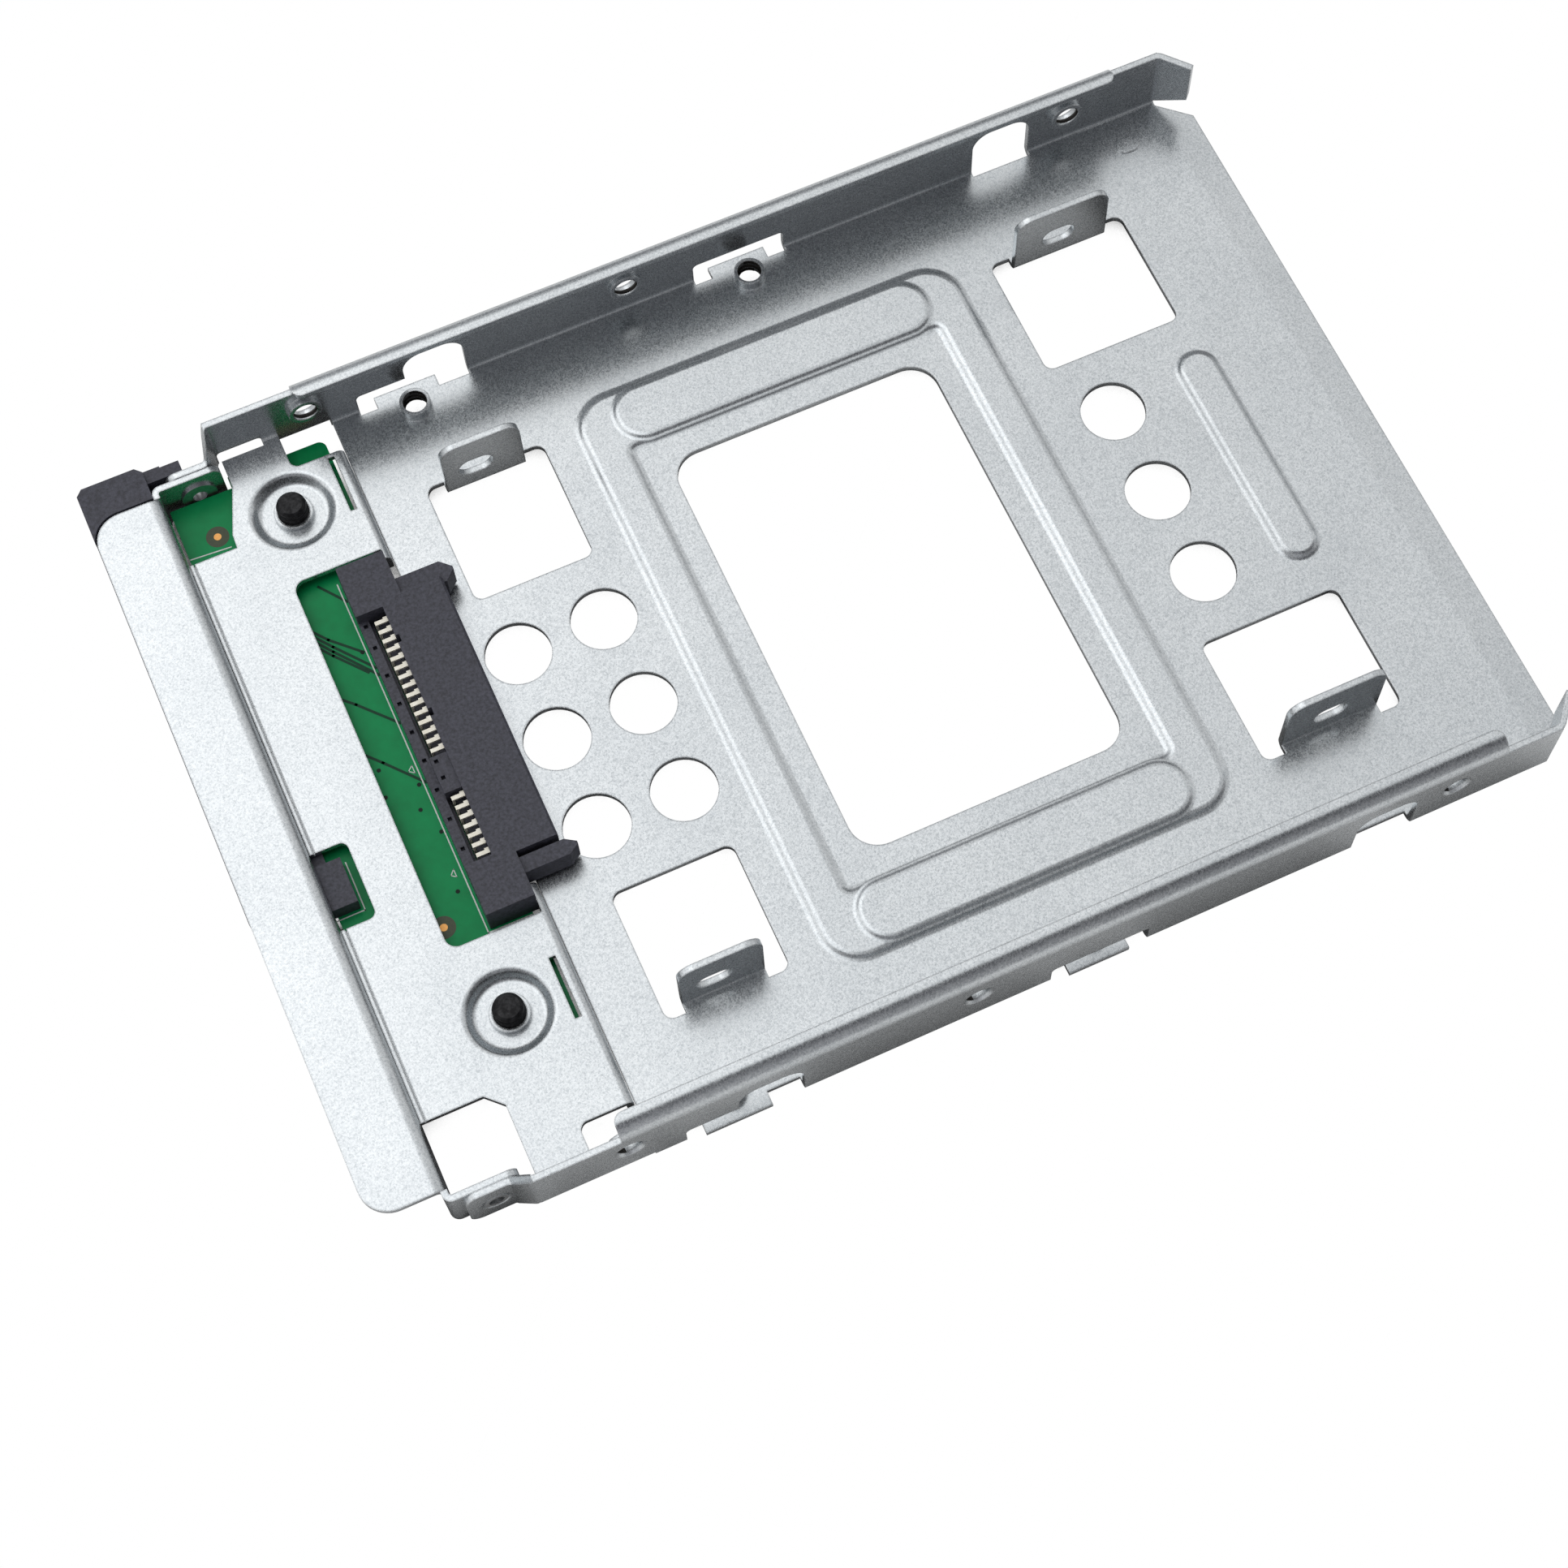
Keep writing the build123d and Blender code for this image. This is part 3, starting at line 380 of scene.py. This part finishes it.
finished_piece("screw_threads", tips, black_oxide)

# The receptacle and the plug are moulded in black glass-filled nylon with a faint violet cast and
# a satin skin. They are soldered to the board and stand on it.
NYLON = (0.080, 0.081, 0.108)
NYLON_DARK = (0.030, 0.030, 0.041)
FIBRE_SCALE = 2600.0
DRIFT_SCALE = 240.0


def moulded(name):
    """Glass-filled plastic: a dull skin with a fine fleck in its colour and relief."""
    material, tree, shader = new_material(name)
    fleck = grain_on(tree, "ShaderNodeTexNoise", FIBRE_SCALE, Detail=4.0, Roughness=0.7)
    drift = grain_on(tree, "ShaderNodeTexNoise", DRIFT_SCALE, Detail=2.0, Roughness=0.5)
    tone = ramp(tree, fleck.outputs["Fac"], [(0.35, NYLON_DARK), (0.65, NYLON)])
    drifted = ramp(tree, drift.outputs["Fac"], [(0.3, (0.86, 0.86, 0.88)), (0.7, (1, 1, 1))])
    tree.links.new(blend(tree, "MULTIPLY", 1.0, tone, drifted), shader.inputs["Base Color"])
    tree.links.new(spread(tree, drift.outputs["Fac"], 0.48, 0.62), shader.inputs["Roughness"])
    skin = add_node(tree, "ShaderNodeBump", Strength=0.3, Distance=0.00001)
    tree.links.new(fleck.outputs["Fac"], skin.inputs["Height"])
    tree.links.new(skin.outputs["Normal"], shader.inputs["Normal"])
    return material


dress("drive_receptacle", moulded("receptacle_nylon"))
dress("host_plug", moulded("plug_nylon"))

# The contacts are stamped copper alloy, plated pale gold, pressed into the housings in two groups
# a pitch apart. The four rows are one finish.
PLATING_TONES = [(0.3, (0.72, 0.68, 0.57)), (0.7, (0.90, 0.87, 0.78))]
plating = speckled("contact_plating", 2200.0, PLATING_TONES, (0.30, 0.45), metallic=0.45)
for row in ("receptacle_power_contacts", "receptacle_signal_contacts",
            "plug_power_contacts", "plug_signal_contacts"):
    dress(row, plating)

# The bracket lies on a plain white table. The table glows white to the camera and to glossy
# surfaces, with painted shade that turns it grey and then dark where the bracket shuts it in.
TABLE_SIZE = 3.0
CREVICE_REACH = 0.008
CREVICE_RAYS = 14
CREVICE_SHADE_STOPS = [(0.10, (0.02, 0.02, 0.02)), (0.22, (1, 1, 1))]
MIRROR_REACH = 0.06
MIRROR_RAYS = 5
MIRROR_SHADE_STOPS = [(0.55, (0.02, 0.02, 0.02)), (1.0, (0.8, 0.8, 0.8))]
bpy.ops.mesh.primitive_plane_add(size=TABLE_SIZE, location=(0, 0, 0))
table = bpy.context.object
table.name = "table"
white, tree, shader = new_material("white_table")
shader.inputs["Base Color"].default_value = (0.8, 0.8, 0.8, 1)
shader.inputs["Roughness"].default_value = 0.9
path = tree.nodes.new("ShaderNodeLightPath")


def painted_shade_on_table(reach, rays, stops):
    """White with painted shade, darker where the bracket closes over the table."""
    node = add_node(tree, "ShaderNodeAmbientOcclusion", samples=rays, Distance=reach)
    return ramp(tree, node.outputs["AO"], stops)


# Painted shade: the camera sees it in narrow gaps, and glossy surfaces see a wider one round the
# bracket.
seen_with_painted_shade = painted_shade_on_table(CREVICE_REACH, CREVICE_RAYS, CREVICE_SHADE_STOPS)
mirrored_with_painted_shade = painted_shade_on_table(MIRROR_REACH, MIRROR_RAYS, MIRROR_SHADE_STOPS)
glow = add_node(tree, "ShaderNodeEmission", Strength=1.0)
tree.links.new(blend(tree, "MIX", path.outputs["Is Camera Ray"], mirrored_with_painted_shade, seen_with_painted_shade), glow.inputs["Color"])
direct = add_node(tree, "ShaderNodeMath", operation="MAXIMUM")
tree.links.new(path.outputs["Is Camera Ray"], direct.inputs[0])
tree.links.new(path.outputs["Is Glossy Ray"], direct.inputs[1])
clear = add_node(tree, "ShaderNodeMath", operation="MAXIMUM")
tree.links.new(direct.outputs["Value"], clear.inputs[0])
tree.links.new(path.outputs["Is Transmission Ray"], clear.inputs[1])
surface = tree.nodes.new("ShaderNodeMixShader")
tree.links.new(clear.outputs["Value"], surface.inputs["Fac"])
tree.links.new(shader.outputs["BSDF"], surface.inputs[1])
tree.links.new(glow.outputs["Emission"], surface.inputs[2])
tree.links.new(surface.outputs["Shader"], tree.nodes["Material Output"].inputs["Surface"])
table.data.materials.append(white)

# The studio is one long soft light that runs overhead from left to right, brighter over its left
# half, with a pale wall at either end. The camera's side and the far wall of the room are darker,
# and the camera itself sees plain white beyond the table.
ACROSS_STOPS = [(0.0, (0.34, 0.34, 0.35)), (0.20, (0.14, 0.14, 0.15)), (0.38, (0.05, 0.05, 0.055)),
                (0.50, (0.88, 0.89, 0.90)), (0.82, (1.0, 1.0, 1.0)), (0.93, (0.30, 0.31, 0.32)),
                (1.0, (0.22, 0.22, 0.23))]
ALONG_STOPS = [(0.0, (0.80, 0.80, 0.80)), (0.30, (1.0, 1.0, 1.0)), (0.60, (0.94, 0.94, 0.94)),
               (0.85, (0.72, 0.72, 0.72)), (1.0, (0.50, 0.50, 0.50))]
SIDE_STOPS = [(0.0, (0.45, 0.45, 0.45)), (0.14, (0.22, 0.22, 0.22)), (0.26, (0.10, 0.10, 0.10)),
              (0.36, (0, 0, 0)), (0.86, (0, 0, 0)), (1.0, (0.42, 0.42, 0.42))]
BRIGHT_STOPS = [(0.22, (0, 0, 0)), (0.34, (0.62, 0.62, 0.62)), (0.48, (0.78, 0.78, 0.78)),
                (0.53, (0.22, 0.22, 0.22)), (0.58, (0, 0, 0))]
LIGHT_STRENGTH = 1.12
world = bpy.data.worlds.new("studio")
bpy.context.scene.world = world
world.use_nodes = True
tree = world.node_tree
sky = tree.nodes["Background"]
coords = tree.nodes.new("ShaderNodeTexCoord")
parts = tree.nodes.new("ShaderNodeSeparateXYZ")
tree.links.new(coords.outputs["Generated"], parts.inputs["Vector"])
upright = tree.nodes.new("ShaderNodeCombineXYZ")
tree.links.new(parts.outputs["Y"], upright.inputs["Y"])
tree.links.new(parts.outputs["Z"], upright.inputs["Z"])
lean = add_node(tree, "ShaderNodeVectorMath", operation="NORMALIZE")
tree.links.new(upright.outputs["Vector"], lean.inputs[0])
leaning = tree.nodes.new("ShaderNodeSeparateXYZ")
tree.links.new(lean.outputs["Vector"], leaning.inputs["Vector"])
across = ramp(tree, spread(tree, leaning.outputs["Y"], 0.0, 1.0, -1.0, 1.0), ACROSS_STOPS)
place_x = spread(tree, parts.outputs["X"], 0.0, 1.0, -1.0, 1.0)
along = blend(tree, "ADD", 1.0, ramp(tree, place_x, ALONG_STOPS), ramp(tree, place_x, BRIGHT_STOPS))
ends = ramp(tree, place_x, SIDE_STOPS)
overhead = blend(tree, "MULTIPLY", 1.0, across, along)
tree.links.new(blend(tree, "ADD", 1.0, overhead, ends), sky.inputs["Color"])
sky.inputs["Strength"].default_value = LIGHT_STRENGTH
beyond = add_node(tree, "ShaderNodeBackground", Color=(1, 1, 1, 1), Strength=1.0)
path = tree.nodes.new("ShaderNodeLightPath")
view = tree.nodes.new("ShaderNodeMixShader")
tree.links.new(path.outputs["Is Camera Ray"], view.inputs["Fac"])
tree.links.new(sky.outputs["Background"], view.inputs[1])
tree.links.new(beyond.outputs["Background"], view.inputs[2])
tree.links.new(view.outputs["Shader"], tree.nodes["World Output"].inputs["Surface"])

# The camera looks down on the bracket from beside its near left corner, as the photograph does.
LENS_PIXELS = 3670.17
FRAME_PIXELS = 1932
CENTRE_X = 1056.34
CENTRE_Y = 942.72
CAMERA_PLACE = (14.4156, -140.3157, 318.2407)
CAMERA_RIGHT = (0.9089710, -0.4168592, -0.0004227)
CAMERA_DOWN = (-0.3839358, -0.8367849, -0.3903643)
CAMERA_FORWARD = (0.1623733, 0.3549921, -0.9206604)
camera = bpy.data.cameras.new("photo_camera")
camera.sensor_fit = "HORIZONTAL"
camera.sensor_width = 36.0
camera.lens = LENS_PIXELS / FRAME_PIXELS * camera.sensor_width
camera.shift_x = -(CENTRE_X - FRAME_PIXELS / 2) / FRAME_PIXELS
camera.shift_y = (CENTRE_Y - FRAME_PIXELS / 2) / FRAME_PIXELS
camera.clip_start = 0.01
viewer = bpy.data.objects.new("photo_camera", camera)
bpy.context.scene.collection.objects.link(viewer)
turn = Matrix((CAMERA_RIGHT, [-v for v in CAMERA_DOWN], [-v for v in CAMERA_FORWARD])).transposed()
viewer.matrix_world = Matrix.Translation(at(*CAMERA_PLACE)) @ turn.to_4x4()
bpy.context.scene.camera = viewer
bpy.context.scene.view_settings.view_transform = "Standard"
